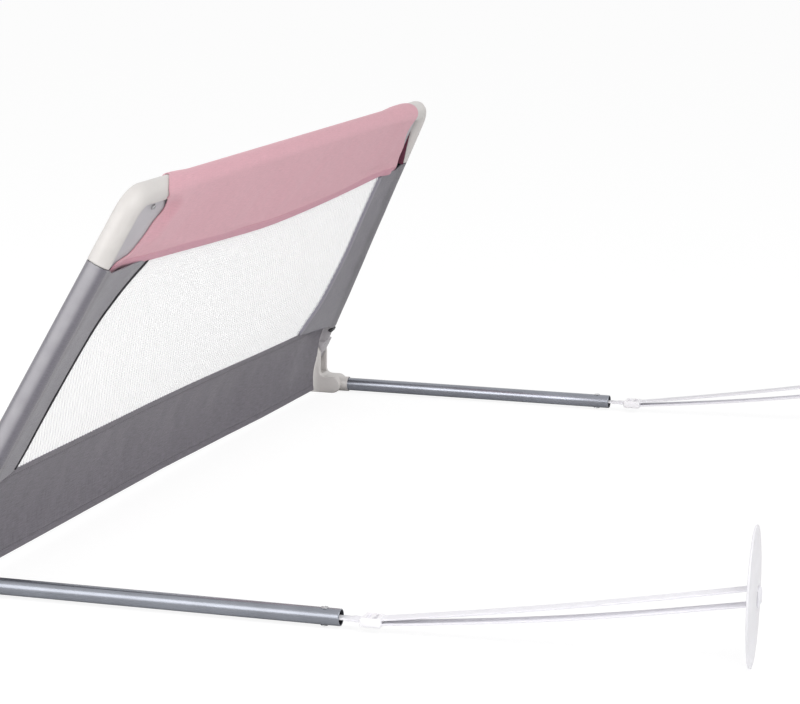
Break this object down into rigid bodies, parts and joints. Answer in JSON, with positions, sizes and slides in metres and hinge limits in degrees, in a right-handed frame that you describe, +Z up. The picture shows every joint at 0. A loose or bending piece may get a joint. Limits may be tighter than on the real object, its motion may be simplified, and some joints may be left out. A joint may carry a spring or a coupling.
{
  "type": "folding bed guard rail",
  "caption": "Folding bed guard rail: a leaning tube panel with fabric and net, hinged on brackets with under-mattress arms and strapped anchor discs.",
  "frame": {"origin": "on the floor, at the centre of the whole rail's box, seen from above", "axes": "+X along the rail towards its far end, +Y from the anchor discs towards the panel, +Z up from the floor"},
  "size_m": [1.2836, 0.8508, 0.4102],
  "materials": {
    "frame_steel": "silver grey, smooth, with one bright highlight line",
    "rivet_steel": "plated rivets, pins, screws and springs",
    "moulding": "warm light grey, satin moulded",
    "button": "black, fine grained",
    "pink_fabric": "dusty pink plain weave with a stitched hem",
    "grey_fabric": "grey plain weave",
    "piping": "dark bound edge",
    "net": "sheer white net",
    "webbing": "white flat webbing",
    "white_plastic": "white satin moulded"
  },
  "bodies": {
    "base": {"near_base_bracket": "moulding", "near_hinge_pin": "rivet_steel", "near_arm_tube": "frame_steel", "near_arm_screw": "rivet_steel", "near_strap_rivet": "rivet_steel", "near_strap_neck": "webbing", "far_base_bracket": "moulding", "far_hinge_pin": "rivet_steel", "far_arm_tube": "frame_steel", "far_arm_screw": "rivet_steel", "far_strap_rivet": "rivet_steel", "far_strap_neck": "webbing"},
    "panel": {"near_leg_fitting": "moulding", "near_button_spring": "rivet_steel", "near_upright_tube": "frame_steel", "near_corner_connector": "moulding", "near_connector_screw": "rivet_steel", "near_side_sleeve": "grey_fabric", "near_sleeve_piping": "piping", "far_leg_fitting": "moulding", "far_button_spring": "rivet_steel", "far_upright_tube": "frame_steel", "far_corner_connector": "moulding", "far_connector_screw": "rivet_steel", "far_side_sleeve": "grey_fabric", "far_sleeve_piping": "piping", "top_tube": "frame_steel", "top_cover": "pink_fabric", "mesh_window": "net", "lower_band": "grey_fabric"},
    "near_button": {"near_release_button": "button"},
    "far_button": {"far_release_button": "button"},
    "near_adjuster": {"near_strap_adjuster": "white_plastic", "near_strap_loop": "webbing"},
    "far_adjuster": {"far_strap_adjuster": "white_plastic", "far_strap_loop": "webbing"},
    "near_disc": {"near_anchor_disc": "white_plastic"},
    "far_disc": {"far_anchor_disc": "white_plastic"}
  },
  "joints": [
    {"name": "panel_fold", "type": "hinge", "parent": "base", "child": "panel", "pos_m": [0, 0.39539, 0.053], "axis": [1, 0, 0], "range_deg": [-116, 64]},
    {"name": "near_button_press", "type": "slide", "parent": "panel", "child": "near_button", "axis": [0, 0.8988, 0.4384], "range_m": [0, 0.0025], "stiffness_N_per_m": 500, "springref_m": -0.002, "deforming": ["near_button_spring"]},
    {"name": "far_button_press", "type": "slide", "parent": "panel", "child": "far_button", "axis": [0, 0.8988, 0.4384], "range_m": [0, 0.0025], "stiffness_N_per_m": 500, "springref_m": -0.002, "deforming": ["far_button_spring"]},
    {"name": "near_adjuster_slide", "type": "slide", "parent": "base", "child": "near_adjuster", "axis": [0, -0.9937, 0.112], "range_m": [0, 0.318], "deforming": ["near_strap_neck"]},
    {"name": "near_disc_pull", "type": "slide", "parent": "near_adjuster", "child": "near_disc", "axis": [0, 0.9749, -0.2225], "range_m": [0, 0.1602], "deforming": ["near_strap_loop"]},
    {"name": "far_adjuster_slide", "type": "slide", "parent": "base", "child": "far_adjuster", "axis": [0, -0.9937, 0.112], "range_m": [0, 0.318], "deforming": ["far_strap_neck"]},
    {"name": "far_disc_pull", "type": "slide", "parent": "far_adjuster", "child": "far_disc", "axis": [0, 0.9749, -0.2225], "range_m": [0, 0.1602], "deforming": ["far_strap_loop"]}
  ],
  "couplings": [
    {"joint": "near_disc_pull", "follows": "near_adjuster_slide", "ratio": 0.5032},
    {"joint": "far_disc_pull", "follows": "far_adjuster_slide", "ratio": 0.5032}
  ]
}
